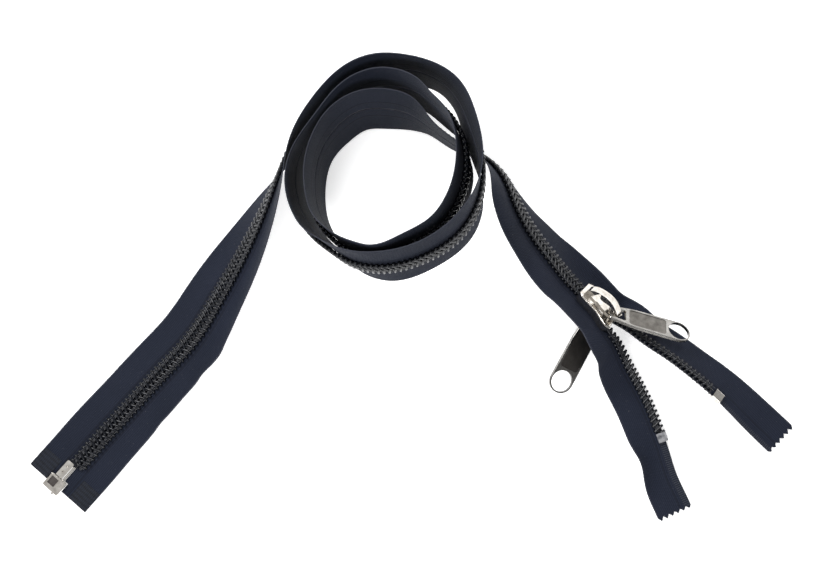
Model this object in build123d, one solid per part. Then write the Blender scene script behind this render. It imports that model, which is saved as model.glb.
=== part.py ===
"""Separating coil zipper with a double-sided slider, its closed chain wound into a standing loop.

Millimetres, +Z up. The origin is the centre of the bounding box, at the surface it lies on.
"""
import os
from math import atan2, cos, degrees, radians, sin

import numpy as np
from build123d import *

# Tape and chain
TAPE_WIDTH = 19.0        # one tape, from its inner edge line to its outer edge
TAPE_THICK = 0.6
EDGE_GAP = 0.3           # each tape's inner edge stands back from the chain's centre line
STIFF_WIDTH = 7.7        # the stretch beside the teeth, which doesn't curl
PIN_NOTCH = 2.6          # width cut out of the tape where the pins sit
CURL_STEPS = 3           # the rest of the tape curls in this many steps
COIL_FROM = 0.08         # coil teeth, measured outward from the centre line
COIL_TO = 4.4
COIL_LOW = 0.5           # measured up from the middle of the tape
COIL_HIGH = 2.85
COIL_WALL = 0.75
CORD_CLEAR = 0.08        # filler cord inside the coil
THREAD = 0.35            # sewing thread along the coil
THREAD_CLEAR = 0.2
THREAD_AT = (1.7, 3.3)   # its two rows, outward from the centre line
FILM_THICK = 0.12
FILM_LENGTH = 12.0
SAMPLE_STEP = 7.0        # length of one facet along the tapes

# Ends of the chain, as lengths along a tape from its square bottom end
BOX_INSIDE = 5.2
COIL_START = 15.0
BARE_LEFT = 43.0         # bare tape beyond the last tooth at the pinked top end
BARE_RIGHT = 41.0

# Slider, in its own frame: x towards the open end, y to the left tape, z out of the front
SLIDER_LENGTH = 24.0
SLIDER_NARROW = 12.4
SLIDER_WIDE = 17.0
PLATE = 1.6
FRONT_PLATE_Z = 3.75
REAR_PLATE_Z = -0.7
FLANGE = 1.2
FLANGE_END_Z = 0.75
FRONT_BRIDGE_WIDTH = 4.4
REAR_BRIDGE_WIDTH = 3.0
ROLL = 46.0              # the slider lies rolled about the chain by this many degrees

# Pull tab
PULL_WIDTH = 13.0
PULL_THICK = 1.8
PULL_REACH = 33.0        # from the middle of its ring opening to its round hole
PULL_HOLE_R = 5.7
RECESS = 0.3

# The chain's line from its bottom end to the slider, one station a row:
# x, y, clearance below the lower edge, lean, extra curl of the left tape, of the right tape.
# A lean of 0 lies flat with the teeth up, and 90 stands on edge with the teeth outward.
LEFT_STRAIGHT = [
    (-182.5, -105.5, 1.9, 0, 0, 0),
    (-177.45, -99.85, 1.9, 0, 0, 0),
    (-172.4, -94.2, 1.9, 0, 0, 0),
    (-168.6, -89.9, 1.9, 0, 0, 0),
    (-160.0, -80.0, 0.4, 2, 0, 6),
    (-146.0, -65.0, 0.3, 8, -4, 18),
    (-128.0, -45.5, 0.3, 12, -6, 30),
    (-112.0, -28.0, 0.3, 17, -8, 40),
    (-99.0, -8.0, 0.3, 26, -10, 40),
    (-87.0, 12.0, 0.3, 42, -10, 30),
    (-76.0, 33.0, 0.3, 60, -6, 16),
    (-67.5, 52.0, 0.3, 80, 0, 6),
]
FIRST_TURN = [
    (-60.0, 69.0, 0.5, 98, 0, 0),
    (-47.0, 88.5, 0.5, 108, 0, 0),
    (-30.0, 103.5, 2, 115, 0, 0),
    (-10.0, 110.0, 7, 115, 0, 0),
    (9.0, 107.5, 15, 106, 0, 0),
    (22.0, 97.3, 25, 104, 0, 0),
    (30.8, 78.8, 38, 104, 0, 0),
    (35.4, 60.4, 44, 93, 0, 0),
    (33.0, 40.0, 46, 76, 0, 0),
    (24.5, 26.0, 46, 68, 0, 0),
    (7.0, 14.5, 43, 67, 0, 0),
    (-13.0, 9.5, 38, 68, 0, 0),
    (-28.0, 12.0, 30, 78, 0, 0),
    (-38.5, 18.5, 22, 90, 0, 0),
    (-49.5, 28.5, 13, 99, 0, 0),
    (-57.5, 45.0, 6, 103, 0, 0),
]
SECOND_TURN = [
    (-56.5, 66.0, 2, 104, 0, 0),
    (-42.0, 84.5, 0.5, 110, 0, 0),
    (-27.0, 98.0, 1, 115, 0, 0),
    (-10.0, 102.0, 6, 116, 0, 0),
    (4.5, 98.0, 14, 106, 0, 0),
    (15.5, 88.5, 25, 99, 0, 0),
    (24.5, 76.0, 38.5, 88, 0, 0),
    (27.5, 61.0, 44, 76, 0, 0),
    (23.0, 41.0, 46, 72, 0, 0),
    (14.0, 28.5, 46, 70, 0, 0),
    (2.5, 21.5, 44, 70, 0, 0),
    (-13.0, 14.5, 38, 70, 0, 0),
    (-26.0, 16.5, 30, 79, 0, 0),
    (-35.5, 22.5, 22, 88, 0, 0),
    (-45.0, 34.5, 12, 98, 0, 0),
    (-48.5, 51.0, 5, 104, 0, 0),
]
HALF_TURN = [
    (-44.5, 71.0, 1, 111, 0, 0),
    (-36.5, 82.0, 0.5, 119, 0, 0),
    (-25.5, 89.5, 0.5, 120, 0, 0),
    (-11.0, 90.5, 1, 120, 0, 0),
    (1.0, 87.5, 0.5, 113, 0, 0),
    (10.0, 81.5, 0.3, 99, 0, 0),
    (19.0, 74.8, 0.3, 95, 0, 0),
    (28.5, 69.0, 0.3, 92, 0, 0),
    (38.5, 64.0, 0.3, 88, 0, 0),
]
TO_SLIDER = [
    (48.0, 54.5, 0.3, 75, 30, -24),
    (53.5, 43.5, 0.3, 64, 26, -24),
    (59.0, 32.5, 0.3, 57, 20, -20),
    (66.0, 22.0, 0.3, 52, 12, -16),
    (73.0, 13.0, 0.3, 48, 8, -18),
]
CHAIN = LEFT_STRAIGHT + FIRST_TURN + SECOND_TURN + HALF_TURN + TO_SLIDER

# The straight stretch through the slider, and each open tape beyond it:
# x, y, height of the teeth line, lean, curl.
SLIDER_CENTRE = (96.0, -12.7, 10.6)
SLIDER_HEADING = -47.0   # degrees from +X in plan
FORK_AT = 1.0            # the two rows of teeth part here, in the slider's frame
FORK_BEND = 0.0225       # and spread sideways by this times the distance squared
LEFT_LEG = [
    (110.5, -23.0, 9.9, 43, -44),
    (120.0, -30.0, 11.2, 40, -14),
    (132.0, -38.0, 12.0, 37, 0),
    (144.0, -47.0, 11.8, 37, 0),
    (156.0, -57.0, 9.9, 30, 0),
    (172.0, -73.0, 4.9, 14, 0),
    (187.5, -88.0, 1.6, 3, 0),
]
RIGHT_LEG = [
    (107.0, -28.0, 10.6, 38, 0),
    (112.0, -36.0, 8.0, 24, 0),
    (118.0, -46.0, 4.0, 8, 0),
    (126.0, -61.0, 1.2, 3, 0),
    (132.0, -76.0, 1.2, 0, 20),
    (135.5, -86.0, 1.2, 0, 50),
    (139.0, -97.0, 0.5, 0, 30),
    (144.0, -108.0, 0.5, 0, 0),
    (147.5, -115.5, 0.5, 0, 0),
]


def cross_section(lean, curl, side):
    """Points across one tape from its inner to its outer edge: (left, up, direction) of each."""
    angle = radians(lean)
    points = [(d * cos(angle), -d * sin(angle), angle) for d in (EDGE_GAP, PIN_NOTCH, STIFF_WIDTH)]
    step = (TAPE_WIDTH - STIFF_WIDTH) / CURL_STEPS
    left, up, _ = points[-1]
    for k in range(CURL_STEPS):
        angle = radians(lean + curl * (k + 1) / CURL_STEPS)
        left += step * cos(angle)
        up -= step * sin(angle)
        points.append((left, up, angle))
    return [(side * left, side * up, angle) for left, up, angle in points]


def lifted(row):
    """A station with its clearance turned into the height of the chain's line."""
    x, y, clearance, lean, left_curl, right_curl = row
    across = cross_section(lean, left_curl, 1) + cross_section(lean, right_curl, -1)
    lowest = min(up for _, up, _ in across)
    return (x, y, clearance - lowest, lean, left_curl, right_curl)


def smooth_line(stations):
    """The natural cubic spline through the stations, as facets about SAMPLE_STEP long."""
    values = np.array(stations, dtype=float)
    spans = np.linalg.norm(np.diff(values[:, :3], axis=0), axis=1)
    count = len(values)
    matrix = np.eye(count)
    right = np.zeros_like(values)
    for i in range(1, count - 1):
        matrix[i, i - 1:i + 2] = spans[i - 1], 2 * (spans[i - 1] + spans[i]), spans[i]
        slope_after = (values[i + 1] - values[i]) / spans[i]
        right[i] = 6 * (slope_after - (values[i] - values[i - 1]) / spans[i - 1])
    bend = np.linalg.solve(matrix, right)
    line = []
    for i, span in enumerate(spans):
        facets = max(1, round(span / SAMPLE_STEP))
        for k in range(facets + (i == count - 2)):
            b = k / facets
            a = 1 - b
            place = a * values[i] + b * values[i + 1]
            place += ((a**3 - a) * bend[i] + (b**3 - b) * bend[i + 1]) * span**2 / 6
            slope = (values[i + 1] - values[i]) / span
            slope += (-(3 * a * a - 1) * bend[i] + (3 * b * b - 1) * bend[i + 1]) * span / 6
            line.append((place, slope[:3] / np.linalg.norm(slope[:3])))
    return line


def slider_axes():
    """The slider's x, y and z directions."""
    heading = radians(SLIDER_HEADING)
    along = np.array((cos(heading), sin(heading), 0))
    left = np.array((-sin(heading), cos(heading), 0))
    up = np.array((0, 0, 1.0))
    roll = radians(ROLL)
    return along, cos(roll) * left - sin(roll) * up, cos(roll) * up + sin(roll) * left


def in_slider(x, y, z=0.0):
    """A point given in the slider's frame."""
    along, left, front = slider_axes()
    return np.array(SLIDER_CENTRE) + x * along + y * left + z * front


def straight_rows(xs, side):
    """Stations through the slider, where the two rows of teeth part."""
    rows = []
    for x in xs:
        spread = FORK_BEND * max(0, x - FORK_AT) ** 2
        place = in_slider(x, side * spread)
        free = min(1, max(0, (x + 30) / 20))
        rows.append((*place, ROLL, -62 * free, 0))
    return rows


def tape_line(side):
    """One tape's inner edge line from its bottom end to its top end."""
    rows = [lifted(row) for row in CHAIN]
    rows += straight_rows((-20, -12, -5, 0, 5, 9, 12), side)
    for x, y, height, lean, curl in (LEFT_LEG if side > 0 else RIGHT_LEG):
        rows.append((x, y, height, lean, curl if side > 0 else 0, curl if side < 0 else 0))
    return smooth_line(rows)


def lengths_along(line):
    """Distance of each facet's start from the bottom end."""
    places = np.array([place[:3] for place, _ in line])
    steps = np.linalg.norm(np.diff(places, axis=0), axis=1)
    return np.concatenate(([0], np.cumsum(steps)))


def strip_rows(line, side, offsets):
    """Rows of points across the strip; offsets(section) gives (left, up) pairs from a section."""
    rows = []
    for place, along in line:
        left = np.cross((0, 0, 1.0), along)
        left /= np.linalg.norm(left)
        up = np.cross(along, left)
        section = cross_section(place[3], place[4] if side > 0 else place[5], side)
        rows.append([place[:3] + a * left + b * up for a, b in offsets(section)])
    return np.array(rows)


def flat_triangles(a, b, c, d):
    """Two flat faces for the four corners of a facet."""
    return [(a, b, c), (a, c, d)]


def solid_from_faces(polygons):
    """A closed solid from flat polygons."""
    faces = [Face(Wire.make_polygon([Vector(*p) for p in polygon], close=True)) for polygon in polygons]
    return Solid(Shell(faces))


def plate_strip(lower, upper, present=None):
    """A thin sheet between two point grids, made only where its cells are present."""
    rows, columns = lower.shape[0] - 1, lower.shape[1] - 1
    if present is None:
        present = np.ones((rows, columns), dtype=bool)
    polygons = []
    for i in range(rows):
        for j in range(columns):
            if not present[i, j]:
                continue
            corners = [(i, j), (i + 1, j), (i + 1, j + 1), (i, j + 1)]
            polygons += flat_triangles(*[upper[c] for c in corners])
            polygons += flat_triangles(*[lower[c] for c in reversed(corners)])
            sides = [((i, j), (i + 1, j), (i, j - 1)), ((i + 1, j), (i + 1, j + 1), (i + 1, j)),
                     ((i + 1, j + 1), (i, j + 1), (i, j + 1)), ((i, j + 1), (i, j), (i - 1, j))]
            for start, end, beyond in sides:
                inside = 0 <= beyond[0] < rows and 0 <= beyond[1] < columns
                if inside and present[beyond]:
                    continue
                polygons += flat_triangles(upper[end], upper[start], lower[start], lower[end])
    return solid_from_faces(polygons)


def tube_strip(outer, inner=None):
    """A closed strip from rows of ring points, hollow when inner rings are given."""
    polygons = []
    count = outer.shape[1]
    for rings in (outer, inner):
        if rings is None:
            continue
        for i in range(len(rings) - 1):
            for j in range(count):
                k = (j + 1) % count
                polygons += flat_triangles(rings[i, j], rings[i, k], rings[i + 1, k], rings[i + 1, j])
    for end in (0, -1):
        if inner is None:
            polygons.append(outer[end])
            continue
        for j in range(count):
            k = (j + 1) % count
            polygons += flat_triangles(outer[end, j], outer[end, k], inner[end, k], inner[end, j])
    return solid_from_faces(polygons)


def woven_tape(line, side):
    """One tape, notched at its bottom end for the box and the pins."""
    def shell(sign):
        def offsets(section):
            half = sign * TAPE_THICK / 2
            return [(a + half * sin(t), b + half * cos(t)) for a, b, t in section]
        return offsets

    lower = strip_rows(line, side, shell(-1))
    upper = strip_rows(line, side, shell(1))
    present = np.ones((lower.shape[0] - 1, lower.shape[1] - 1), dtype=bool)
    starts = lengths_along(line)[:-1]
    in_box = starts < BOX_INSIDE - 0.1
    present[in_box, 0] = False
    if side > 0:
        present[in_box, 1] = False
        present[starts < COIL_START - 1.5, 0] = False
    return plate_strip(lower, upper, present)


def ring(section, near, far, low, high, side):
    """A rectangle beside the teeth line, as (left, up) pairs."""
    angle = section[0][2]
    corners = [(near, low), (far, low), (far, high), (near, high)]
    return [(side * d * cos(angle) + h * sin(angle), -side * d * sin(angle) + h * cos(angle))
            for d, h in corners]


def chain_strip(line, side, near, far, low, high, wall=None):
    """A strip of rectangular section that follows the teeth line; hollow when it has a wall."""
    outer = strip_rows(line, side, lambda s: ring(s, near, far, low, high, side))
    if wall is None:
        return tube_strip(outer)
    inner = strip_rows(line, side, lambda s: ring(s, near + wall, far - wall, low + wall, high - wall, side))
    return tube_strip(outer, inner)


def end_films(line, side):
    """The two stiff films bonded to the front and back of a tape's bottom end."""
    starts = lengths_along(line)
    short = [row for row, start in zip(line, starts) if start < FILM_LENGTH + 2]
    films = {}
    for name, sign in (("front", 1), ("back", -1)):
        def offsets(section, level):
            h = sign * (TAPE_THICK / 2 + 0.02 + level)
            return [(a + h * sin(t), b + h * cos(t)) for a, b, t in section[2:]]
        near = strip_rows(short, side, lambda s: offsets(s, 0))
        away = strip_rows(short, side, lambda s: offsets(s, FILM_THICK))
        films[name] = plate_strip(near, away)
    return films


def bottom_frame():
    """The frame of the square bottom end: x up the tape, y to the left tape, z out of the front."""
    place, along = LINES[1][0]
    return Plane(origin=Vector(*place[:3]), x_dir=Vector(*along), z_dir=(0, 0, 1)).location


def block(x0, x1, y0, y1, z0, z1):
    """A box given by its faces."""
    return Pos((x0 + x1) / 2, (y0 + y1) / 2, (z0 + z1) / 2) * Box(x1 - x0, y1 - y0, z1 - z0)


def vertical_edges(shape):
    return shape.edges().filter_by(Axis.Z)


def retainer_box():
    """The box that the two pins stand in, with its square window."""
    body = block(-3.3, 5.0, -2.3, 7.5, -1.85, 2.5)
    body = fillet(vertical_edges(body), 0.9)
    body = fillet(body.edges().group_by(Axis.Z)[-1], 0.35)
    body -= block(-0.9, 3.6, 2.0, 6.3, 1.5, 3)
    body -= block(0.9, 6, 1.4, 5.7, -1.4, 1.35)
    body -= block(-4, 6, -0.35, 1.15, -1.0, 1.4)
    return body


def box_pin():
    """The wide flat pin: two leaves joined by a web in the tape's notch."""
    front = block(1.2, 15.0, 1.5, 5.6, 0.42, 1.3)
    front += block(5.2, 15.0, 1.5, 5.6, 0.42, 1.7)
    front = fillet(vertical_edges(front).group_by(Axis.X)[-1], 0.9)
    back = block(1.2, 15.0, 1.5, 5.6, -1.2, -0.42)
    back = fillet(vertical_edges(back).group_by(Axis.X)[-1], 0.9)
    web = block(1.2, 13.0, 1.5, 2.2, -0.45, 0.45)
    dimples = Pos(8.5, 3.6, 1.75) * Sphere(0.55) + Pos(12.0, 3.6, 1.75) * Sphere(0.55)
    return (front + back + web) - dimples


def insertion_pin():
    """The narrow pin on the right tape's edge, which stands loose in the box."""
    pin = block(-4.3, 14.0, -0.12, 1.04, -0.85, 1.25)
    return fillet(pin.edges().filter_by(Axis.X), 0.4)


def toothed(line, bare):
    """The stretch of a tape that carries teeth."""
    starts = lengths_along(line)
    return [row for row, start in zip(line, starts) if COIL_START < start < starts[-1] - bare]


def top_stop(last_row, side, length, high):
    """A clip pinched over the tape straight after its last tooth."""
    place, along = last_row
    left = np.cross((0, 0, 1.0), along)
    left /= np.linalg.norm(left)
    up = np.cross(along, left)
    lean = radians(place[3])
    front = cos(lean) * up + sin(lean) * left
    frame = Plane(origin=Vector(*place[:3]), x_dir=Vector(*along), z_dir=Vector(*front)).location
    low, far = -1.35, 4.2
    clip = block(0.2, length, -1.0, far, low, high)
    clip = fillet(clip.edges().filter_by(Axis.X), 0.5)
    clip -= block(-1, length + 1, 0.1, far + 1, -0.7, 0.7)
    clip = clip if side > 0 else mirror(clip, Plane.XZ)
    return frame * clip


def slider_frame():
    along, left, front = slider_axes()
    return Plane(origin=Vector(*SLIDER_CENTRE), x_dir=Vector(*along), z_dir=Vector(*front)).location


def slider_outline(inset):
    """Half-width along the slider: straight at the closed end, flared towards the open end."""
    half = SLIDER_LENGTH / 2 - inset * 0.4
    narrow = SLIDER_NARROW / 2 - inset
    wide = SLIDER_WIDE / 2 - inset
    with BuildSketch() as sketch:
        with BuildLine():
            Polyline((-half, 0), (-half, narrow * 0.75), (-half + 2.2, narrow), (-1, narrow))
            Spline((-1, narrow), (half - 3, wide), tangents=((1, 0), (1, 0.05)))
            Polyline((half - 3, wide), (half, wide - 1.6), (half - 1.4, 1.5), (half - 1.4, 0), (-half, 0))
        make_face()
        mirror(about=Plane.XZ)
    return sketch.sketch


def front_plate():
    """The slider's front wing with the flanges that hold the chain."""
    plate = Pos(0, 0, FRONT_PLATE_Z) * extrude(slider_outline(0), PLATE)
    plate = fillet(plate.edges().group_by(Axis.Z)[-1], 0.5)
    depth = FRONT_PLATE_Z - FLANGE_END_Z
    skirt = extrude(slider_outline(0) - slider_outline(FLANGE), depth)
    keep = block(-20, 20, 3.2, 20, -1, 9) + block(-20, 20, -20, -3.2, -1, 9)
    open_ends = block(-SLIDER_LENGTH / 2 - 1, -SLIDER_LENGTH / 2 + 2.8, -4.8, 4.8, -1, 9)
    open_ends += block(8.0, 20, -7.5, 7.5, -1, 9)
    skirt = (skirt & keep) - open_ends
    return plate + Pos(0, 0, FLANGE_END_Z) * skirt


def rear_plate():
    """The slider's rear wing, a flat leaf behind the tapes."""
    plate = Pos(0, 0, REAR_PLATE_Z - PLATE) * extrude(slider_outline(0), PLATE)
    return fillet(plate.edges().group_by(Axis.Z)[0], 0.5)


def diamond():
    """The wedge that parts the two rows of teeth and holds the wings together."""
    tail = SLIDER_LENGTH / 2 - 1.6
    outline = Polygon((7.6, 0.15), (7.6, -0.15), (tail, -0.95), (tail, 0.95), align=None)
    height = FRONT_PLATE_Z - REAR_PLATE_Z
    return Pos(0, 0, REAR_PLATE_Z) * extrude(outline, height, dir=(0, 0, 1))


def bridge(rise, reach_back, reach_front, width, base, turned):
    """An arched strap over one wing, in which a pull tab's ring hangs."""
    with BuildSketch(Plane.XZ) as sketch:
        with BuildLine():
            Polyline((reach_front, 0), (-reach_back, 0), (-reach_back, 1.4))
            Spline((-reach_back, 1.4), (-reach_back * 0.35, rise * 0.93), (reach_front * 0.45, rise),
                   (reach_front, rise * 0.55), (reach_front, 0),
                   tangents=((0.35, 1), (0, -1)))
        make_face()
        with BuildLine():
            wall = 2.1
            Polyline((-reach_back + 3.4, 0.9), (reach_front - wall, 0.9))
            Spline((reach_front - wall, 0.9), (reach_front - wall, rise * 0.5),
                   (reach_front * 0.40, rise - wall), (-reach_back * 0.30, rise * 0.93 - wall),
                   (-reach_back + 3.4, 0.9), tangents=((0, 1), (-0.35, -1)))
        make_face(mode=Mode.SUBTRACT)
    arch = extrude(sketch.sketch, width / 2, both=True)
    arch = Pos(0, 0, base) * arch if not turned else Pos(0, 0, base) * mirror(arch, Plane.XY)
    return arch


def pull_tab():
    """A pull tab: ring opening at its origin, round hole PULL_REACH along x, raised rim."""
    half = PULL_WIDTH / 2
    thick = PULL_THICK / 2
    outline = Pos(PULL_REACH, 0) * Circle(half)
    neck = Polygon((-5.4, 4.2), (4.6, 5.7), (10, half - 0.2), (PULL_REACH, half),
                   (PULL_REACH, -half), (10, -half + 0.2), (4.6, -5.7), (-5.4, -4.2), align=None)
    body = extrude(outline + neck, thick, both=True)
    body = fillet(body.edges().filter_by(Axis.Z).group_by(Axis.X)[0], 1.2)
    body = chamfer(body.edges().group_by(Axis.Z)[-1] + body.edges().group_by(Axis.Z)[0], 0.25)
    ring_hole = Polygon((-3.6, -2.9), (-3.6, 2.9), (3.6, 3.8), (3.6, -3.8), align=None)
    body -= extrude(fillet(ring_hole.vertices(), 1.0), PULL_THICK, both=True)
    body -= Pos(PULL_REACH, 0) * Cylinder(PULL_HOLE_R, 3 * PULL_THICK)
    panel = Pos(15.7, 0) * RectangleRounded(20.5, PULL_WIDTH - 2.8, 1.5)
    panel -= Pos(PULL_REACH, 0) * Circle(PULL_HOLE_R + 1.0)
    body -= Pos(0, 0, thick - RECESS) * extrude(panel, 1)
    body -= Pos(0, 0, RECESS - thick) * extrude(panel, -1)
    return body


def tab_frame(ring, heading, slope, tilt):
    """Where a pull tab lies: ring centre, heading in plan, rise along it, and roll about it."""
    h, s, t = radians(heading), radians(slope), radians(tilt)
    along = np.array((cos(h) * cos(s), sin(h) * cos(s), sin(s)))
    side = np.array((-sin(h), cos(h), 0))
    face = np.cross(along, side)
    normal = cos(t) * face + sin(t) * side
    return Plane(origin=Vector(*ring), x_dir=Vector(*along), z_dir=Vector(*normal)).location


LINES = {side: tape_line(side) for side in (1, -1)}
FRONT_PULL = dict(ring=tuple(in_slider(10.2, 0.4, 9.3)), heading=-16.0, slope=-12.0, tilt=46.0)
REAR_PULL = dict(ring=tuple(in_slider(4.8, -0.5, -8.5)), heading=-118.3, slope=-0.7, tilt=19.9)

nodes = {}
for side, hand, bare in ((1, "left", BARE_LEFT), (-1, "right", BARE_RIGHT)):
    line = LINES[side]
    teeth = toothed(line, bare)
    nodes[f"tape_{hand}"] = woven_tape(line, side)
    nodes[f"coil_{hand}"] = chain_strip(teeth, side, COIL_FROM, COIL_TO, COIL_LOW, COIL_HIGH, COIL_WALL)
    inset = COIL_WALL + CORD_CLEAR
    nodes[f"filler_cord_{hand}"] = chain_strip(
        teeth, side, COIL_FROM + inset, COIL_TO - inset, COIL_LOW + inset, COIL_HIGH - inset)
    thread_low = COIL_HIGH + THREAD_CLEAR
    rows = [chain_strip(teeth, side, at, at + THREAD, thread_low, thread_low + THREAD) for at in THREAD_AT]
    nodes[f"stitching_{hand}"] = Compound(children=rows)
    for face_name, film in end_films(line, side).items():
        nodes[f"end_film_{hand}_{face_name}"] = film

nodes["retainer_box"] = bottom_frame() * retainer_box()
nodes["box_pin"] = bottom_frame() * box_pin()
nodes["insertion_pin"] = bottom_frame() * insertion_pin()
nodes["top_stop_left"] = top_stop(toothed(LINES[1], BARE_LEFT)[-1], 1, 5.6, 2.6)
nodes["top_stop_right"] = top_stop(toothed(LINES[-1], BARE_RIGHT)[-1], -1, 5.2, 2.5)

nodes["slider_front_plate"] = slider_frame() * front_plate()
nodes["slider_rear_plate"] = slider_frame() * rear_plate()
nodes["slider_diamond"] = slider_frame() * diamond()
front_base = FRONT_PLATE_Z + PLATE
rear_base = REAR_PLATE_Z - PLATE
nodes["bridge_front"] = slider_frame() * bridge(7.6, 10.0, 10.6, FRONT_BRIDGE_WIDTH, front_base, False)
nodes["bridge_rear"] = slider_frame() * bridge(8.8, 6.6, 6.6, REAR_BRIDGE_WIDTH, rear_base, True)
nodes["pull_tab_front"] = tab_frame(**FRONT_PULL) * pull_tab()
nodes["pull_tab_rear"] = tab_frame(**REAR_PULL) * pull_tab()

os.makedirs("parts", exist_ok=True)
boxes = [shape.bounding_box() for shape in nodes.values()]
low = [min(getattr(b.min, a) for b in boxes) for a in ("X", "Y", "Z")]
high = [max(getattr(b.max, a) for b in boxes) for a in ("X", "Y", "Z")]
shift = (-(low[0] + high[0]) / 2, -(low[1] + high[1]) / 2, -low[2])
print("moved by", [round(v, 3) for v in shift], "size", [round(h - l, 2) for h, l in zip(high, low)])
for name, shape in nodes.items():
    export_step(Pos(*shift) * shape, f"parts/{name}.step")
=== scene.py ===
"""Separating coil zipper: woven tapes, nylon coils and plated fittings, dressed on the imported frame."""
import math

import bpy
import numpy as np
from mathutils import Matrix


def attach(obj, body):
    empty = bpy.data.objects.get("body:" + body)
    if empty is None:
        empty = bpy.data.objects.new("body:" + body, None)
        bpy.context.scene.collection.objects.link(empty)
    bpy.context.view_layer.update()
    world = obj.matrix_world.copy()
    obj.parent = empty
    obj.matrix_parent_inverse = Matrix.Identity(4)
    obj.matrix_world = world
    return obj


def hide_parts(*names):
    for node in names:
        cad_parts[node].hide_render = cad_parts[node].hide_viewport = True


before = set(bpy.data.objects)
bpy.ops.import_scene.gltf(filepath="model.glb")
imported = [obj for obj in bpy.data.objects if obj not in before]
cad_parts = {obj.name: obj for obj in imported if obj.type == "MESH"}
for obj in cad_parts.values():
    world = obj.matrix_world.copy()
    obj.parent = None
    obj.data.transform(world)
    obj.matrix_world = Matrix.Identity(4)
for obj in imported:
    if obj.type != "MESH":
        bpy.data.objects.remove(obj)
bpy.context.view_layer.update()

# Sizes in millimetres, as the part has them
SHIFT = np.array((-1.91, 2.729, 0.266))   # from the winding's own axes to the row frame
TAPE_WIDTH = 19.0
TAPE_HALF = 0.27
EDGE_GAP = 0.3
STIFF_WIDTH = 7.7
COIL_START = 15.0
LAST_TOOTH = {"left": 1102.9, "right": 1102.6}
PITCH = 2.8
FILAMENT = 0.66                           # radius of the nylon
TURN_MIDDLE = (1.98, 1.6)                 # middle of a turn, out from the chain's centre and above the tape
TURN_REACH = (2.35, 0.64)                 # how far a turn goes from its middle, both ways
HEAD_SWELL = 0.16                         # how much thicker the nylon is at the heads
CORD_RADIUS = 0.6
THREAD_RADIUS = 0.2
THREAD_ROWS = ((1.75, 0.0), (3.45, 0.7))  # out from the centre, lag of the stitches
THREAD_HIGH = 2.2
PIN_NOTCH = {"left": 13.5, "right": 5.2}  # length cut back for each pin at the square end
NOTCH_EDGE = 2.6
PINKED_TEETH = 6
PINKED_DEPTH = 2.3
PINKED_REACH = 7.0
RIBBED_BAND = {"left": 2.6, "right": 3.7}
RIBBED_AFTER = 6.0                        # from the last tooth to the first rib
FILM_LENGTH = 12.0
FILM_FACES = (0.05, 0.16)                 # inner and outer face, above the cloth
ROLL = 46.0
SLIDER_CURL = -62.0                       # how the left tape turns down beside the slider
SLIDER_CENTRE = (96.0, -12.7, 10.6)
SLIDER_HEADING = -47.0
FORK_AT = 1.0
FORK_BEND = 0.0225

# The chain's line: x, y, clearance below the lower edge, lean, curl of the left tape, of the right tape
CHAIN = [
    (-182.5, -105.5, 1.9, 0, 0, 0), (-177.45, -99.85, 1.9, 0, 0, 0), (-172.4, -94.2, 1.9, 0, 0, 0),
    (-168.6, -89.9, 1.9, 0, 0, 0), (-160.0, -80.0, 0.4, 2, 0, 6), (-146.0, -65.0, 0.3, 8, -4, 18),
    (-128.0, -45.5, 0.3, 12, -6, 30), (-112.0, -28.0, 0.3, 17, -8, 40), (-99.0, -8.0, 0.3, 26, -10, 40),
    (-87.0, 12.0, 0.3, 42, -10, 30), (-76.0, 33.0, 0.3, 60, -6, 16), (-67.5, 52.0, 0.3, 80, 0, 6),
    (-60.0, 69.0, 0.5, 98, 0, 0), (-47.0, 88.5, 0.5, 108, 0, 0), (-30.0, 103.5, 2, 115, 0, 0),
    (-10.0, 110.0, 7, 115, 0, 0), (9.0, 107.5, 15, 106, 0, 0), (22.0, 97.3, 25, 104, 0, 0),
    (30.8, 78.8, 38, 104, 0, 0), (35.4, 60.4, 44, 93, 0, 0), (33.0, 40.0, 46, 76, 0, 0),
    (24.5, 26.0, 46, 68, 0, 0), (7.0, 14.5, 43, 67, 0, 0), (-13.0, 9.5, 38, 68, 0, 0),
    (-28.0, 12.0, 30, 78, 0, 0), (-38.5, 18.5, 22, 90, 0, 0), (-49.5, 28.5, 13, 99, 0, 0),
    (-57.5, 45.0, 6, 103, 0, 0),
    (-56.5, 66.0, 2, 104, 0, 0), (-42.0, 84.5, 0.5, 110, 0, 0), (-27.0, 98.0, 1, 115, 0, 0),
    (-10.0, 102.0, 6, 116, 0, 0), (4.5, 98.0, 14, 106, 0, 0), (15.5, 88.5, 25, 99, 0, 0),
    (24.5, 76.0, 38.5, 88, 0, 0), (27.5, 61.0, 44, 76, 0, 0), (23.0, 41.0, 46, 72, 0, 0),
    (14.0, 28.5, 46, 70, 0, 0), (2.5, 21.5, 44, 70, 0, 0), (-13.0, 14.5, 38, 70, 0, 0),
    (-26.0, 16.5, 30, 79, 0, 0), (-35.5, 22.5, 22, 88, 0, 0), (-45.0, 34.5, 12, 98, 0, 0),
    (-48.5, 51.0, 5, 104, 0, 0),
    (-44.5, 71.0, 1, 111, 0, 0), (-36.5, 82.0, 0.5, 119, 0, 0), (-25.5, 89.5, 0.5, 120, 0, 0),
    (-11.0, 90.5, 1, 120, 0, 0), (1.0, 87.5, 0.5, 113, 0, 0), (10.0, 81.5, 0.3, 99, 0, 0),
    (19.0, 74.8, 0.3, 95, 0, 0), (28.5, 69.0, 0.3, 92, 0, 0), (38.5, 64.0, 0.3, 88, 0, 0),
    (48.0, 54.5, 0.3, 75, 30, -24), (53.5, 43.5, 0.3, 64, 26, -24), (59.0, 32.5, 0.3, 57, 20, -20),
    (66.0, 22.0, 0.3, 52, 12, -16), (73.0, 13.0, 0.3, 48, 8, -18),
]
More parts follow.
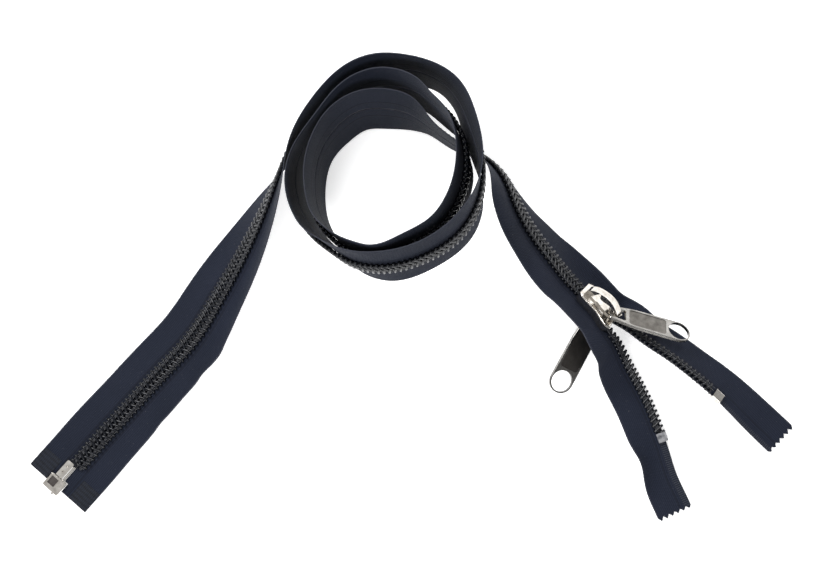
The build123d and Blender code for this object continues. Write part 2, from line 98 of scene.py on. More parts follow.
# Each open tape beyond the slider: x, y, height of the teeth line, lean, curl
LEFT_LEG = [
    (110.5, -23.0, 9.9, 43, -44), (120.0, -30.0, 11.2, 40, -14), (132.0, -38.0, 12.0, 37, 0),
    (144.0, -47.0, 11.8, 37, 0), (156.0, -57.0, 9.9, 30, 0), (172.0, -73.0, 4.9, 14, 0),
    (187.5, -88.0, 1.6, 3, 0),
]
RIGHT_LEG = [
    (107.0, -28.0, 10.6, 38, 0), (112.0, -36.0, 8.0, 24, 0), (118.0, -46.0, 4.0, 8, 0),
    (126.0, -61.0, 1.2, 3, 0), (132.0, -76.0, 1.2, 0, 20), (135.5, -86.0, 1.2, 0, 50),
    (139.0, -97.0, 0.5, 0, 30), (144.0, -108.0, 0.5, 0, 0), (147.5, -115.5, 0.5, 0, 0),
]


# The lie of the two tapes

def lowest_point(lean, curl, side):
    """How far below the chain's line one tape's section reaches."""
    left, up = STIFF_WIDTH * math.cos(math.radians(lean)), -STIFF_WIDTH * math.sin(math.radians(lean))
    heights = [0.0, side * -EDGE_GAP * math.sin(math.radians(lean)), side * up]
    for k in range(3):
        angle = math.radians(lean + curl * (k + 1) / 3)
        up -= (TAPE_WIDTH - STIFF_WIDTH) / 3 * math.sin(angle)
        heights.append(side * up)
    return min(heights)


def slider_axes():
    heading, roll = math.radians(SLIDER_HEADING), math.radians(ROLL)
    along = np.array((math.cos(heading), math.sin(heading), 0))
    left = np.array((-math.sin(heading), math.cos(heading), 0))
    up = np.array((0, 0, 1.0))
    return along, math.cos(roll) * left - math.sin(roll) * up, math.cos(roll) * up + math.sin(roll) * left


def tape_stations(side):
    """Rows of x, y, z, lean and curl from the box to the pinked end of one tape."""
    rows = []
    for x, y, clearance, lean, left_curl, right_curl in CHAIN:
        low = min(lowest_point(lean, left_curl, 1), lowest_point(lean, right_curl, -1))
        rows.append((x, y, clearance - low, lean, left_curl if side > 0 else right_curl))
    along, left, front = slider_axes()
    for x in (-20, -12, -5, 0, 5, 9, 12):
        spread = FORK_BEND * max(0, x - FORK_AT) ** 2
        place = np.array(SLIDER_CENTRE) + x * along + side * spread * left
        free = min(1, max(0, (x + 30) / 20))
        rows.append((*place, ROLL, SLIDER_CURL * free if side > 0 else 0))
    return rows + list(LEFT_LEG if side > 0 else RIGHT_LEG)


class Line:
    """One tape's inner edge line, read at any distance from its bottom end."""

    FACET = 0.9              # longest straight piece of the line
    EASE = 8                 # facets over which the lean and the curl are evened out
    CLOTH_REACH = 7.0        # how far the cloth looks along the line for its heading
    CURL_EASE = 6            # how soon the curl sets in past the stiff part
    ACROSS_STEPS = 26

    def __init__(self, side):
        self.side = side
        values = np.array(tape_stations(side), dtype=float)
        spans = np.linalg.norm(np.diff(values[:, :3], axis=0), axis=1)
        count = len(values)
        matrix, right = np.eye(count), np.zeros_like(values)
        for i in range(1, count - 1):
            matrix[i, i - 1:i + 2] = spans[i - 1], 2 * (spans[i - 1] + spans[i]), spans[i]
            after = (values[i + 1] - values[i]) / spans[i]
            right[i] = 6 * (after - (values[i] - values[i - 1]) / spans[i - 1])
        bend = np.linalg.solve(matrix, right)
        rows = []
        for i, span in enumerate(spans):
            facets = max(2, round(span / self.FACET))
            for k in range(facets + (i == count - 2)):
                b = k / facets
                a = 1 - b
                row = a * values[i] + b * values[i + 1]
                row += ((a**3 - a) * bend[i] + (b**3 - b) * bend[i + 1]) * span**2 / 6
                rows.append(row)
        self.rows = np.array(rows)
        weights = np.hanning(2 * self.EASE + 1)[1:-1]
        for k in (3, 4):
            padded = np.pad(self.rows[:, k], self.EASE - 1, mode="edge")
            self.rows[:, k] = np.convolve(padded, weights / weights.sum(), mode="valid")
        steps = np.linalg.norm(np.diff(self.rows[:, :3], axis=0), axis=1)
        self.marks = np.concatenate(([0], np.cumsum(steps)))
        self.length = self.marks[-1]

    def at(self, s, reach=2.0):
        """Place, left, up, lean and curl at each distance; reach is how far it looks for its heading."""
        s = np.asarray(s, dtype=float)
        inside = np.clip(s, 0, self.length)
        place = np.column_stack([np.interp(inside, self.marks, self.rows[:, k]) for k in range(3)])
        ahead = np.clip(inside + reach, 0, self.length)
        behind = np.clip(inside - reach, 0, self.length)
        along = np.column_stack([np.interp(ahead, self.marks, self.rows[:, k])
                                 - np.interp(behind, self.marks, self.rows[:, k]) for k in range(3)])
        along /= np.linalg.norm(along, axis=1)[:, None]
        place = place + (s - inside)[:, None] * along
        left = np.cross((0, 0, 1.0), along)
        left /= np.linalg.norm(left, axis=1)[:, None]
        up = np.cross(along, left)
        lean = np.radians(np.interp(inside, self.marks, self.rows[:, 3]))
        curl = np.radians(np.interp(inside, self.marks, self.rows[:, 4]))
        return place, left, up, lean, curl

    def beside_teeth(self, s, out, high):
        """Points out from the centre line along the stiff part, and high above the tape's middle."""
        place, left, up, lean, _ = self.at(s)
        c, n = np.cos(lean)[:, None], np.sin(lean)[:, None]
        outward = self.side * (c * left - n * up)
        front = c * up + n * left
        out, high = np.broadcast_to(out, (len(lean),)), np.broadcast_to(high, (len(lean),))
        return place + out[:, None] * outward + high[:, None] * front

    def on_cloth(self, s, out, high):
        """Points of the curling cloth: s, out and high are arrays of one shape, rows along the tape."""
        found = self.at(s.ravel(), self.CLOTH_REACH)
        place, left, up, lean, curl = [v.reshape(s.shape + v.shape[1:]) for v in found]

        def slant(w):
            t = np.clip((w - STIFF_WIDTH) / (TAPE_WIDTH - STIFF_WIDTH), 0, 1.1)
            return lean + curl * (t + (1 - np.exp(-self.CURL_EASE * t)) / self.CURL_EASE)

        across, rise = np.zeros(s.shape), np.zeros(s.shape)
        step = out / self.ACROSS_STEPS
        for k in range(self.ACROSS_STEPS):
            angle = slant(step * (k + 0.5))
            across += step * np.cos(angle)
            rise -= step * np.sin(angle)
        angle = slant(out)
        a = self.side * across + high * np.sin(angle)
        b = self.side * rise + high * np.cos(angle)
        return place + a[..., None] * left + b[..., None] * up


LINES = {"left": Line(1), "right": Line(-1)}


# Mesh helpers

def new_piece(name, points, faces, material, smooth=True, body="chain"):
    """A mesh piece from points in millimetres, moving with a body."""
    mesh = bpy.data.meshes.new(name)
    mesh.from_pydata(((np.asarray(points) + SHIFT) / 1000).tolist(), [], faces)
    mesh.update()
    if smooth:
        mesh.polygons.foreach_set("use_smooth", [True] * len(mesh.polygons))
    mesh.materials.append(material)
    piece = bpy.data.objects.new(name, mesh)
    bpy.context.scene.collection.objects.link(piece)
    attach(piece, body)
    return piece


def ring_faces(rows, columns):
    """Quads over rows of points, where each row is a closed ring."""
    i = np.arange(rows - 1)[:, None]
    j = np.arange(columns)[None, :]
    k = (j + 1) % columns
    quads = np.stack(np.broadcast_arrays(i * columns + j, i * columns + k,
                                         (i + 1) * columns + k, (i + 1) * columns + j), axis=-1)
    return quads.reshape(-1, 4).tolist()


def write_weave_places(piece, along, across):
    """Distances along and across the piece, in millimetres, for its weave."""
    layer = piece.data.uv_layers.new(name="cloth")
    index = np.empty(len(piece.data.loops), dtype=np.int32)
    piece.data.loops.foreach_get("vertex_index", index)
    uv = np.column_stack([np.asarray(along).ravel()[index], np.asarray(across).ravel()[index]])
    layer.data.foreach_set("uv", uv.ravel().astype(np.float32))


def strand(centres, radius, sides):
    """Points and faces of a round strand along centre points, closed at both ends."""
    centres = np.asarray(centres)
    along = np.gradient(centres, axis=0)
    along /= np.linalg.norm(along, axis=1)[:, None]
    side = np.cross(along, (0.31, 0.17, 0.93))
    side /= np.linalg.norm(side, axis=1)[:, None]
    other = np.cross(along, side)
    turn = np.arange(sides) * 2 * math.pi / sides
    radius = np.broadcast_to(radius, (len(centres),))[:, None, None]
    ring = radius * (np.cos(turn)[None, :, None] * side[:, None, :]
                     + np.sin(turn)[None, :, None] * other[:, None, :])
    points = (centres[:, None, :] + ring).reshape(-1, 3)
    faces = ring_faces(len(centres), sides)
    last = (len(centres) - 1) * sides
    faces.append(list(range(sides)))
    faces.append([last + k for k in reversed(range(sides))])
    return points, faces


def join_strands(strands):
    """Several strands as one set of points and faces."""
    points, faces, base = [], [], 0
    for p, f in strands:
        points.append(p)
        faces += [[v + base for v in face] for face in f]
        base += len(p)
    return np.vstack(points), faces


# Shader helpers

def add(tree, kind, **values):
    """A new node with its settings."""
    node = tree.nodes.new(kind)
    for key, value in values.items():
        setattr(node, key, value)
    return node


def sums(tree, operation, a, b=None, clamp=False):
    """A Math node over sockets or numbers."""
    node = add(tree, "ShaderNodeMath", operation=operation, use_clamp=clamp)
    for k, value in enumerate((a, b)):
        if value is None:
            continue
        if isinstance(value, (int, float)):
            node.inputs[k].default_value = value
        else:
            tree.links.new(value, node.inputs[k])
    return node.outputs[0]


def blended(tree, share, first, second):
    """A colour mix; first and second are colours or sockets."""
    node = add(tree, "ShaderNodeMix", data_type="RGBA")
    for k, value in ((0, share), (6, first), (7, second)):
        if isinstance(value, (int, float)):
            node.inputs[k].default_value = value
        elif isinstance(value, tuple):
            node.inputs[k].default_value = (*value, 1)
        else:
            tree.links.new(value, node.inputs[k])
    return node.outputs[2]


def spread(tree, value, low, high, new_low, new_high):
    """A value taken from one range to another, held at both ends."""
    node = add(tree, "ShaderNodeMapRange")
    tree.links.new(value, node.inputs[0])
    for k, number in enumerate((low, high, new_low, new_high)):
        node.inputs[k + 1].default_value = number
    return node.outputs[0]


def noise(tree, scale, detail=3.0, rough=0.55, coords=None):
    """Noise over the object's own coordinates, in metres, or over the ones given."""
    node = add(tree, "ShaderNodeTexNoise")
    node.inputs["Scale"].default_value = scale
    node.inputs["Detail"].default_value = detail
    node.inputs["Roughness"].default_value = rough
    if coords is None:
        coords = add(tree, "ShaderNodeTexCoord").outputs["Object"]
    tree.links.new(coords, node.inputs["Vector"])
    return node.outputs[0]


def start_group(name, inputs, outputs):
    """A node group with number inputs at their usual values, and number outputs."""
    tree = bpy.data.node_groups.new(name, "ShaderNodeTree")
    for label, default in inputs:
        made = tree.interface.new_socket(name=label, in_out="INPUT", socket_type="NodeSocketFloat")
        made.default_value = default
    for label in outputs:
        tree.interface.new_socket(name=label, in_out="OUTPUT", socket_type="NodeSocketFloat")
    return tree, add(tree, "NodeGroupInput"), add(tree, "NodeGroupOutput")


def place_group(tree, group, **values):
    """A group in a material, with this material's own values."""
    node = add(tree, "ShaderNodeGroup", node_tree=group)
    for key, value in values.items():
        node.inputs[key.replace("_", " ")].default_value = value
    return node


def make_cloudy():
    """Slow drift of tone, and small lint specks."""
    tree, given, out = start_group(
        "cloudy and lint", [("Cloud scale", 30), ("Lint amount", 0.3)], ["Cloud", "Lint"])
    drift = add(tree, "ShaderNodeTexNoise")
    drift.inputs["Detail"].default_value = 4
    coords = add(tree, "ShaderNodeTexCoord").outputs["Object"]
    tree.links.new(coords, drift.inputs["Vector"])
    tree.links.new(given.outputs["Cloud scale"], drift.inputs["Scale"])
    tree.links.new(spread(tree, drift.outputs[0], 0.3, 0.7, 0, 1), out.inputs["Cloud"])
    specks = noise(tree, 1500, 1, 0.5, coords)
    picked = spread(tree, specks, 0.74, 0.8, 0, 1)
    tree.links.new(sums(tree, "MULTIPLY", picked, given.outputs["Lint amount"]), out.inputs["Lint"])
    return tree


def make_wear_and_painted_light():
    """Raised edges painted bright, as rubbed wear and painted highlight; hollows darkened with painted
    shade; with fine scratches.
    """
    tree, given, out = start_group(
        "rubbed edges", [("Scratch", 0.5)], ["Edge", "Hollow_shade", "Scratches", "Smudge"])
    pointed = add(tree, "ShaderNodeNewGeometry").outputs["Pointiness"]
    # Bright on raised edges: rubbed wear and painted highlight
    tree.links.new(spread(tree, pointed, 0.5, 0.6, 0, 0.25), out.inputs["Edge"])
    # Dark in hollows: painted shade
    tree.links.new(spread(tree, pointed, 0.5, 0.4, 0, 0.25), out.inputs["Hollow_shade"])
    coords = add(tree, "ShaderNodeTexCoord").outputs["Object"]
    stretch = add(tree, "ShaderNodeMapping")
    stretch.inputs["Scale"].default_value = (3500, 260, 900)
    stretch.inputs["Rotation"].default_value = (0.2, 0.3, 0.9)
    tree.links.new(coords, stretch.inputs["Vector"])
    lines = noise(tree, 1.0, 2, 0.5, stretch.outputs[0])
    fine = spread(tree, lines, 0.62, 0.75, 0, 1)
    tree.links.new(sums(tree, "MULTIPLY", fine, given.outputs["Scratch"]), out.inputs["Scratches"])
    tree.links.new(spread(tree, noise(tree, 240, 3, 0.6, coords), 0.35, 0.7, 0, 1), out.inputs["Smudge"])
    return tree


def make_threads():
    """Warp ribs and filling threads of a narrow woven cloth, from its distances along and across."""
    tree, given, out = start_group(
        "woven threads", [("Rib width", 0.62), ("Pick", 0.42), ("Twill", 0.5)],
        ["Height", "Shade", "Along", "Across"])
    uv = add(tree, "ShaderNodeUVMap", uv_map="cloth")
    parts = add(tree, "ShaderNodeSeparateXYZ")
    tree.links.new(uv.outputs[0], parts.inputs[0])
    along, across = parts.outputs[0], parts.outputs[1]
    wobble = sums(tree, "MULTIPLY", sums(tree, "SUBTRACT", noise(tree, 900, 2), 0.5), 0.9)
    rib = sums(tree, "DIVIDE", across, given.outputs["Rib width"])
    pick = sums(tree, "DIVIDE", along, given.outputs["Pick"])
    pick = sums(tree, "ADD", pick, sums(tree, "MULTIPLY", rib, given.outputs["Twill"]))
    pick = sums(tree, "ADD", pick, wobble)
    ribs = sums(tree, "ABSOLUTE", sums(tree, "SINE", sums(tree, "MULTIPLY", rib, math.pi)))
    picks = sums(tree, "ABSOLUTE", sums(tree, "SINE", sums(tree, "MULTIPLY", pick, math.pi)))
    height = sums(tree, "ADD", sums(tree, "MULTIPLY", ribs, 0.55), sums(tree, "MULTIPLY", picks, 0.45))
    tree.links.new(height, out.inputs["Height"])
    tree.links.new(spread(tree, height, 0.2, 0.95, 0, 1), out.inputs["Shade"])
    tree.links.new(along, out.inputs["Along"])
    tree.links.new(across, out.inputs["Across"])
    return tree


CLOUDY = make_cloudy()
WEAR_AND_PAINTED_LIGHT = make_wear_and_painted_light()
THREADS = make_threads()


def start_material(name):
    """A new material, its node tree and its Principled shader."""
    material = bpy.data.materials.new(name)
    material.use_nodes = True
    tree = material.node_tree
    shader = tree.nodes["Principled BSDF"]
    return material, tree, shader


def bump(tree, shader, height, strength, distance):
    """Relief from a height, its distance in metres."""
    node = add(tree, "ShaderNodeBump")
    node.inputs["Strength"].default_value = strength
    node.inputs["Distance"].default_value = distance
    tree.links.new(height, node.inputs["Height"])
    tree.links.new(node.outputs[0], shader.inputs["Normal"])


def tape_cloth(name, coil_end, ribbed_band):
    """Navy-black polyester webbing, with painted highlight making its edges paler, and a ribbed strip past
    the teeth.
    """
    material, tree, shader = start_material(name)
    weave = place_group(tree, THREADS, Rib_width=0.95, Pick=0.8, Twill=0.5)
    clouds = place_group(tree, CLOUDY, Cloud_scale=26, Lint_amount=0.35)
    tone = blended(tree, weave.outputs["Shade"], (0.0032, 0.0046, 0.009), (0.0135, 0.0175, 0.031))
    lighter = sums(tree, "MULTIPLY", clouds.outputs["Cloud"], 0.35)
    tone = blended(tree, lighter, tone, (0.019, 0.023, 0.04))
    across = weave.outputs["Across"]
    # Painted highlight: both edges of the tape lightened, where they catch the light
    outer = spread(tree, across, 18.2, 18.9, 0, 1)
    inner = spread(tree, across, 0.95, 0.35, 0, 1)
    rim = sums(tree, "MAXIMUM", outer, inner)
    tone = blended(tree, sums(tree, "MULTIPLY", rim, 0.75), tone, (0.05, 0.053, 0.068))
    beyond = spread(tree, weave.outputs["Along"], coil_end, coil_end + 0.6, 0, 1)
    strip = sums(tree, "MULTIPLY", beyond, spread(tree, across, ribbed_band + 0.3, ribbed_band, 0, 1))
    bars = sums(tree, "SINE", sums(tree, "MULTIPLY", weave.outputs["Along"], 2 * math.pi / 1.1))
    bars = sums(tree, "MULTIPLY", spread(tree, bars, -0.3, 0.8, 0, 1), strip)
    tone = blended(tree, sums(tree, "MULTIPLY", bars, 0.7), tone, (0.045, 0.049, 0.058))
    seam = sums(tree, "ABSOLUTE", sums(tree, "SUBTRACT", across, 6.1))
    seam = spread(tree, seam, 0.45, 0.1, 0, 1)
    tone = blended(tree, sums(tree, "MULTIPLY", seam, 0.5), tone, (0.005, 0.0055, 0.009))
    tone = blended(tree, clouds.outputs["Lint"], tone, (0.16, 0.16, 0.17))
    tree.links.new(tone, shader.inputs["Base Color"])
    tree.links.new(spread(tree, weave.outputs["Shade"], 0, 1, 0.86, 0.66), shader.inputs["Roughness"])
    shader.inputs["Sheen Weight"].default_value = 0.03
    shader.inputs["Sheen Roughness"].default_value = 0.45
    shader.inputs["Specular IOR Level"].default_value = 0.12
    height = sums(tree, "ADD", weave.outputs["Height"], sums(tree, "MULTIPLY", bars, 1.6))
    height = sums(tree, "SUBTRACT", height, sums(tree, "MULTIPLY", seam, 0.7))
    bump(tree, shader, height, 0.55, 0.00022)
    return material


def nylon():
    """Glossy black monofilament."""
    material, tree, shader = start_material("glossy nylon coil")
    clouds = place_group(tree, CLOUDY, Cloud_scale=400, Lint_amount=0.2)
    tone = blended(tree, clouds.outputs["Cloud"], (0.0035, 0.004, 0.006), (0.008, 0.0095, 0.014))
    tone = blended(tree, clouds.outputs["Lint"], tone, (0.06, 0.06, 0.065))
    tree.links.new(tone, shader.inputs["Base Color"])
    tree.links.new(spread(tree, clouds.outputs["Cloud"], 0, 1, 0.12, 0.24), shader.inputs["Roughness"])
    shader.inputs["IOR"].default_value = 1.53
    shader.inputs["Specular IOR Level"].default_value = 0.3
    bump(tree, shader, noise(tree, 2600, 2), 0.12, 0.00006)
    return material


def twisted_thread(name, dark, light, scale):
    """Plied yarn, with the twist as slanting ridges."""
    material, tree, shader = start_material(name)
    clouds = place_group(tree, CLOUDY, Cloud_scale=scale, Lint_amount=0.2)
    coords = add(tree, "ShaderNodeTexCoord").outputs["Object"]
    twist = add(tree, "ShaderNodeTexWave", wave_type="BANDS", bands_direction="DIAGONAL")
    twist.inputs["Scale"].default_value = 420
    twist.inputs["Distortion"].default_value = 2.5
    tree.links.new(coords, twist.inputs["Vector"])
    tone = blended(tree, twist.outputs["Fac"], dark, light)
    tone = blended(tree, clouds.outputs["Lint"], tone, (0.12, 0.12, 0.13))
    tree.links.new(tone, shader.inputs["Base Color"])
    tree.links.new(spread(tree, clouds.outputs["Cloud"], 0, 1, 0.6, 0.85), shader.inputs["Roughness"])
    shader.inputs["Sheen Weight"].default_value = 0.42
    bump(tree, shader, twist.outputs["Fac"], 0.5, 0.00012)
    return material


def pressed_film():
    """Clear film melted into the weave: smoother than the cloth, with cross ribs."""
    material, tree, shader = start_material("pressed end film")
    weave = place_group(tree, THREADS, Rib_width=1.0, Pick=2.4, Twill=0.0)
    clouds = place_group(tree, CLOUDY, Cloud_scale=120, Lint_amount=0.1)
    tone = blended(tree, weave.outputs["Shade"], (0.0012, 0.0016, 0.003), (0.012, 0.015, 0.024))
    cloud = sums(tree, "MULTIPLY", clouds.outputs["Cloud"], 0.3)
    tone = blended(tree, cloud, tone, (0.013, 0.016, 0.026))
    tree.links.new(tone, shader.inputs["Base Color"])
    tree.links.new(spread(tree, clouds.outputs["Cloud"], 0, 1, 0.5, 0.65), shader.inputs["Roughness"])
    shader.inputs["Specular IOR Level"].default_value = 0.18
    bump(tree, shader, weave.outputs["Height"], 0.6, 0.0002)
    return material


def nickel(name, dark, light, worn_and_lit_edge_colour, rough_low, rough_high, scratch):
    """Plated zinc: warm bright metal, darkened in its hollows with painted shade and brightened along its
    edges as rubbed wear and painted highlight.
    """
    material, tree, shader = start_material(name)
    wear = place_group(tree, WEAR_AND_PAINTED_LIGHT, Scratch=scratch)
    tone = blended(tree, wear.outputs["Smudge"], light, dark)
    # painted shade in the hollows
    tone = blended(tree, wear.outputs["Hollow_shade"], tone, (0.2, 0.18, 0.155))
    # edges brightened: rubbed wear and painted highlight
    tone = blended(tree, wear.outputs["Edge"], tone, worn_and_lit_edge_colour)
    tree.links.new(tone, shader.inputs["Base Color"])
    shader.inputs["Metallic"].default_value = 1.0
    rough = spread(tree, wear.outputs["Smudge"], 0, 1, rough_low, rough_high)
    rough = sums(tree, "ADD", rough, sums(tree, "MULTIPLY", wear.outputs["Scratches"], 0.22), clamp=True)
    tree.links.new(rough, shader.inputs["Roughness"])
    grain = sums(tree, "ADD", noise(tree, 1400, 3), wear.outputs["Scratches"])
    bump(tree, shader, grain, 0.1, 0.00005)
    return material


def clear_plastic():
    """Colourless moulded stop, cloudy with small flow marks."""
    material, tree, shader = start_material("clear moulded stop")
    clouds = place_group(tree, CLOUDY, Cloud_scale=600, Lint_amount=0.2)
    tone = blended(tree, clouds.outputs["Cloud"], (0.12, 0.125, 0.14), (0.5, 0.5, 0.52))
    tree.links.new(tone, shader.inputs["Base Color"])
    tree.links.new(spread(tree, clouds.outputs["Cloud"], 0, 1, 0.06, 0.18), shader.inputs["Roughness"])
    shader.inputs["Transmission Weight"].default_value = 0.45
    shader.inputs["IOR"].default_value = 1.49
    shader.inputs["Coat Weight"].default_value = 0.6
    bump(tree, shader, noise(tree, 900, 2), 0.3, 0.00015)
    return material


# Cloth pieces

WAVE_FROM = 8.5
SWELLS = ((0.35, 17.3, 1), (0.22, 7.9, 2))     # height, length and lag of the long waves
PUCKERS = {1: ((0.5, 70, 6),), -1: ((0.9, 96, 4.5), (-0.7, 108, 5), (0.8, 62, 5))}   # height, place, reach


def outer_wave(side, s, out):
    """How the free edge of a tape lifts and falls along its length."""
    share = np.clip((out - WAVE_FROM) / (TAPE_WIDTH - WAVE_FROM), 0, 1) ** 2
    wave = sum(height * np.sin(s / length + lag * side) for height, length, lag in SWELLS)
    for height, place, reach in PUCKERS[side]:
        wave = wave + height * np.exp(-((s - place) / reach) ** 2)
    return share * wave


def tape_piece(hand):
    """One woven tape: notched for the pins at its square end, pinked at the other."""
    line = LINES[hand]
    length = line.length
    notch = PIN_NOTCH[hand]
    marks = np.unique(np.concatenate([
        np.linspace(0, notch, 9), np.linspace(notch + 0.05, length - 8, int(length / 1.5)),
        np.linspace(length - 7.6, length, 10)]))
    width_points = 25
    count = 2 * width_points
    columns = np.linspace(0, 1, width_points)
    front_high = np.full(width_points, TAPE_HALF)
    front_high[0] = front_high[-1] = TAPE_HALF * 0.62
    ring_share = np.concatenate([columns, columns[::-1]])
    ring_high = np.concatenate([front_high, -front_high[::-1]])
    s = np.repeat(marks[:, None], count, axis=1)
    inner = np.where(s <= notch, NOTCH_EDGE, EDGE_GAP)
    out = inner + ring_share[None, :] * (TAPE_WIDTH - inner)
    zig = 1 - np.abs((out * PINKED_TEETH / TAPE_WIDTH) % 1 * 2 - 1)
    s = s - PINKED_DEPTH * (1 - zig) * np.clip((s - length) / PINKED_REACH + 1, 0, 1)
    high = ring_high[None, :] + outer_wave(line.side, s, out)
    points = line.on_cloth(s, out, high)
    faces = ring_faces(len(marks), count)
    last = (len(marks) - 1) * count
    for k in range(width_points - 1):
        faces.append([k + 1, k, count - 1 - k, count - 2 - k])
        faces.append([last + k, last + k + 1, last + count - 2 - k, last + count - 1 - k])
    if line.side < 0:
        faces = [face[::-1] for face in faces]
    cloth = tape_cloth(f"woven tape {hand}", LAST_TOOTH[hand] + RIBBED_AFTER, RIBBED_BAND[hand])
    piece = new_piece(f"cloth_tape_{hand}", points.reshape(-1, 3), faces, cloth)
    write_weave_places(piece, s, out)
    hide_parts(f"tape_{hand}")


def film_piece(hand, face):
    """A film pressed on one face of a tape's square end."""
    line = LINES[hand]
    sign = 1 if face == "front" else -1
    rows, columns = 16, 15
    marks = np.linspace(0.1, FILM_LENGTH, rows)
    s, out = np.meshgrid(marks, np.linspace(STIFF_WIDTH, TAPE_WIDTH - 0.1, columns), indexing="ij")
    inner, outer = [sign * (TAPE_HALF + above) + outer_wave(line.side, s, out) for above in FILM_FACES]
    s = np.concatenate([s, s[:, ::-1]], axis=1)
    out = np.concatenate([out, out[:, ::-1]], axis=1)
    points = line.on_cloth(s, out, np.concatenate([inner, outer[:, ::-1]], axis=1))
    ring = list(range(2 * columns))
    faces = ring_faces(rows, len(ring)) + [ring, [(rows - 1) * len(ring) + k for k in reversed(ring)]]
    if line.side * sign > 0:
        faces = [f[::-1] for f in faces]
    piece = new_piece(f"film_{hand}_{face}", points.reshape(-1, 3), faces, FILM, smooth=False)
    write_weave_places(piece, s, out)
    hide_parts(f"end_film_{hand}_{face}")


def coil_piece(hand):
    """The coil of teeth: one filament that rises over the cord, turn after turn."""
    line = LINES[hand]
    first, last = COIL_START, LAST_TOOTH[hand]
    turns = int((last - first) / PITCH)
    per_turn = 16
    theta = np.arange(turns * per_turn + 1) * 2 * math.pi / per_turn
    phase = 0.0 if line.side > 0 else PITCH / 2
    wide, tall = np.cos(theta), np.sin(theta)
    out = TURN_MIDDLE[0] - TURN_REACH[0] * np.sign(wide) * np.abs(wide) ** 0.75
    high = TURN_MIDDLE[1] + TURN_REACH[1] * np.sign(tall) * np.abs(tall) ** 0.6
    along = first + phase + PITCH * (theta / (2 * math.pi) - 0.16 * np.sin(theta * 2 + 0.4))
    centres = line.beside_teeth(along, out, high)
    head = np.clip((wide - 0.5) / 0.5, 0, 1)
    points, faces = strand(centres, FILAMENT * (1 + HEAD_SWELL * head), 8)
    piece = new_piece(f"nylon_coil_{hand}", points, faces, NYLON)
    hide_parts(f"coil_{hand}")


def filler_piece(hand):
    """The cord inside the coil."""
    line = LINES[hand]
    along = np.arange(COIL_START, LAST_TOOTH[hand], 2.0)
    points, faces = strand(line.beside_teeth(along, 2.3, 1.62), CORD_RADIUS, 8)
    piece = new_piece(f"core_cord_{hand}", points, faces, CORE)
    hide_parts(f"filler_cord_{hand}")


def stitch_piece(hand):
    """Two rows of lockstitch, pulled down between the turns."""
    line = LINES[hand]
    phase = 0.0 if line.side > 0 else PITCH / 2
    along = np.arange(COIL_START + 1, LAST_TOOTH[hand] - 0.5, PITCH / 5)
    over = np.cos((along - COIL_START - phase) * 2 * math.pi / PITCH - 1.2)
    strands = []
    for out, lag in THREAD_ROWS:
        wander = out + 0.1 * np.sin(along * 2 * math.pi / PITCH + lag)
        centres = line.beside_teeth(along, wander, THREAD_HIGH + 0.15 * over)
        strands.append(strand(centres, THREAD_RADIUS, 6))
    points, faces = join_strands(strands)
    piece = new_piece(f"seam_thread_{hand}", points, faces, THREAD)
    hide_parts(f"stitching_{hand}")


YARN = ((0.004, 0.0045, 0.007), (0.016, 0.018, 0.026))
FILM = pressed_film()
NYLON = nylon()
CORE = twisted_thread("filler cord", *YARN, 200)
THREAD = twisted_thread("sewing thread", *YARN, 300)
BRIGHT = nickel(
    "bright nickel", (0.44, 0.41, 0.37), (0.66, 0.63, 0.585), (0.85, 0.83, 0.79), 0.1, 0.22, 0.4)
# Darker copies of the same nickel stand in for shade: painted shade on the tab rims, more on the rear tab,
# and on the sunken tab panels and box floor
SHADED_TAB_METAL = nickel(
    "nickel tab rim", (0.2, 0.192, 0.18), (0.32, 0.31, 0.295), (0.42, 0.41, 0.39), 0.2, 0.34, 0.7)
PANEL_SHADE_METAL = nickel(
    "sunken tab panel", (0.075, 0.071, 0.066), (0.15, 0.143, 0.133), (0.2, 0.19, 0.18), 0.3, 0.46, 1.0)
SHADED_REAR_METAL = nickel(
    "rear tab rim", (0.1, 0.096, 0.092), (0.19, 0.183, 0.175), (0.32, 0.31, 0.3), 0.2, 0.36, 0.7)
REAR_PANEL_SHADE = nickel(
    "rear tab panel", (0.028, 0.026, 0.026), (0.06, 0.057, 0.056), (0.1, 0.095, 0.09), 0.3, 0.46, 1.0)
RECESS_SHADE_METAL = nickel(
    "sunken box floor", (0.07, 0.062, 0.064), (0.16, 0.145, 0.145), (0.2, 0.19, 0.19), 0.2, 0.35, 0.5)
CLEAR = clear_plastic()

for hand in ("left", "right"):
    tape_piece(hand)
    for face in ("front", "back"):
        film_piece(hand, face)
    coil_piece(hand)
    filler_piece(hand)
    stitch_piece(hand)

# Metal fittings keep their own shapes
FITTINGS = {
    "retainer_box": BRIGHT, "box_pin": BRIGHT, "insertion_pin": BRIGHT, "top_stop_left": BRIGHT,
    "top_stop_right": CLEAR, "slider_front_plate": BRIGHT, "slider_rear_plate": BRIGHT,
    "slider_diamond": BRIGHT, "bridge_front": BRIGHT, "bridge_rear": BRIGHT,
    "pull_tab_front": SHADED_TAB_METAL, "pull_tab_rear": SHADED_REAR_METAL,
}
# Fittings with a sunken panel, and the darker copy of the nickel that paints shade into it
SUNKEN = {"pull_tab_front": PANEL_SHADE_METAL, "pull_tab_rear": REAR_PANEL_SHADE, "retainer_box": RECESS_SHADE_METAL}


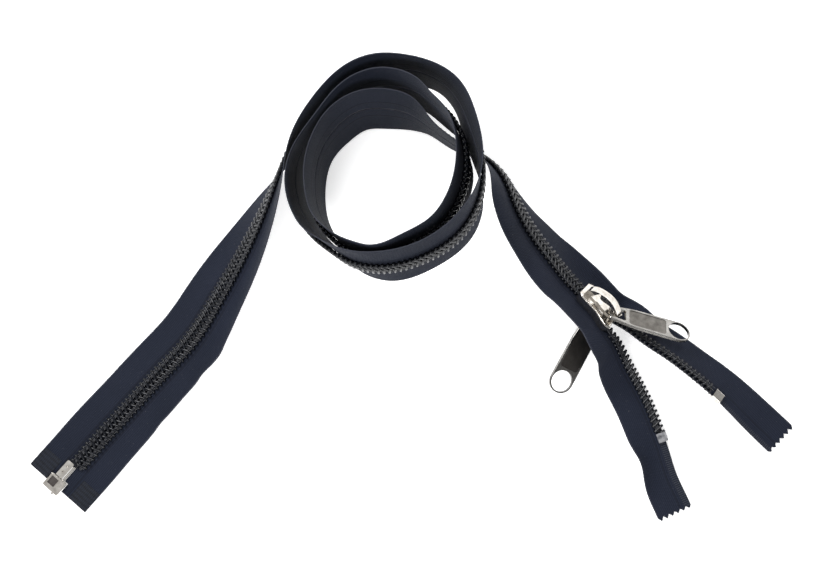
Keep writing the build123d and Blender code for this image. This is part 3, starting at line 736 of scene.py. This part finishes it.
def mark_sunken(mesh, depth=0.0001):
    """Second material on the faces that lie parallel to the widest face but below the rim around them."""
    count = len(mesh.polygons)
    normals, centres, areas = np.empty(3 * count), np.empty(3 * count), np.empty(count)
    mesh.polygons.foreach_get("normal", normals)
    mesh.polygons.foreach_get("center", centres)
    mesh.polygons.foreach_get("area", areas)
    normals, centres = normals.reshape(-1, 3), centres.reshape(-1, 3)
    axis = normals[np.argmax(areas)]
    turned, level = normals @ axis, centres @ axis
    picked = np.zeros(count, dtype=bool)
    for sign in (1, -1):
        facing = sign * turned > 0.995
        if facing.any():
            picked |= facing & (sign * level < (sign * level)[facing].max() - depth)
    mesh.polygons.foreach_set("material_index", picked.astype(np.int32))


for name, material in FITTINGS.items():
    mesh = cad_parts[name].data
    mesh.materials.clear()
    mesh.materials.append(material)
    if name in SUNKEN:
        mesh.materials.append(SUNKEN[name])
        mark_sunken(mesh)


# Table, light and camera

TABLE_HALF = 3.0
TABLE_TOP = -0.0003
CAMERA_HEIGHT = 1.6
SENSOR = 36
SEEN_WIDTH = 0.42536      # width of table that the camera takes in


def flat_square(name, size, height):
    """A level square, its middle over the origin."""
    mesh = bpy.data.meshes.new(name)
    corners = [(x * size, y * size, height) for x, y in ((-1, -1), (1, -1), (1, 1), (-1, 1))]
    mesh.from_pydata(corners, [], [(0, 1, 2, 3)])
    square = bpy.data.objects.new(name, mesh)
    bpy.context.scene.collection.objects.link(square)
    return square


def soft_light(name, power, size, place, aim=(0, 0, 0)):
    """A round softbox turned towards a point."""
    data = bpy.data.lights.new(name, "AREA")
    data.energy = power
    data.shape = "DISK"
    data.size = size
    light = bpy.data.objects.new(name, data)
    bpy.context.scene.collection.objects.link(light)
    direction = np.array(aim, dtype=float) - np.array(place, dtype=float)
    pitch = math.atan2(math.hypot(direction[0], direction[1]), -direction[2])
    light.location = place
    light.rotation_euler = (pitch, 0, math.atan2(direction[1], direction[0]) - math.pi / 2)


table = flat_square("white_table", TABLE_HALF, TABLE_TOP)
white, tree, shader = start_material("white table")
paper = blended(tree, noise(tree, 6, 2), (0.9, 0.9, 0.9), (0.94, 0.94, 0.94))
tree.links.new(paper, shader.inputs["Base Color"])
shader.inputs["Roughness"].default_value = 0.9
shader.inputs["Specular IOR Level"].default_value = 0.1
tree.links.new(paper, shader.inputs["Emission Color"])
shader.inputs["Emission Strength"].default_value = 0.62
table.data.materials.append(white)

soft_light("key_softbox", 24, 0.8, (-0.7, 0.9, 1.3))
soft_light("fill_softbox", 15, 1.0, (-0.25, -1.2, 1.2))
soft_light("low_strip", 5, 0.4, (0.9, 0.9, 0.45), (0.05, 0, 0))
world = bpy.data.worlds.new("studio")
bpy.context.scene.world = world
world.use_nodes = True
sky = world.node_tree
direction = add(sky, "ShaderNodeTexCoord").outputs["Generated"]
patches = noise(sky, 2.4, 1.5, 0.5, direction)
patches = spread(sky, patches, 0.42, 0.58, 0.06, 0.8)
seen = add(sky, "ShaderNodeLightPath").outputs["Is Camera Ray"]
sky.links.new(sums(sky, "MAXIMUM", patches, seen), sky.nodes["Background"].inputs[1])
sky.nodes["Background"].inputs[0].default_value = (1, 1, 1, 1)
bpy.context.scene.view_settings.view_transform = "Standard"

camera_data = bpy.data.cameras.new("overhead")
camera_data.sensor_width = SENSOR
camera_data.lens = SENSOR * CAMERA_HEIGHT / SEEN_WIDTH
camera = bpy.data.objects.new("overhead", camera_data)
camera.location = (SHIFT[0] / 1000, SHIFT[1] / 1000, CAMERA_HEIGHT + SHIFT[2] / 1000)
bpy.context.scene.collection.objects.link(camera)
bpy.context.scene.camera = camera

bpy.context.view_layer.update()
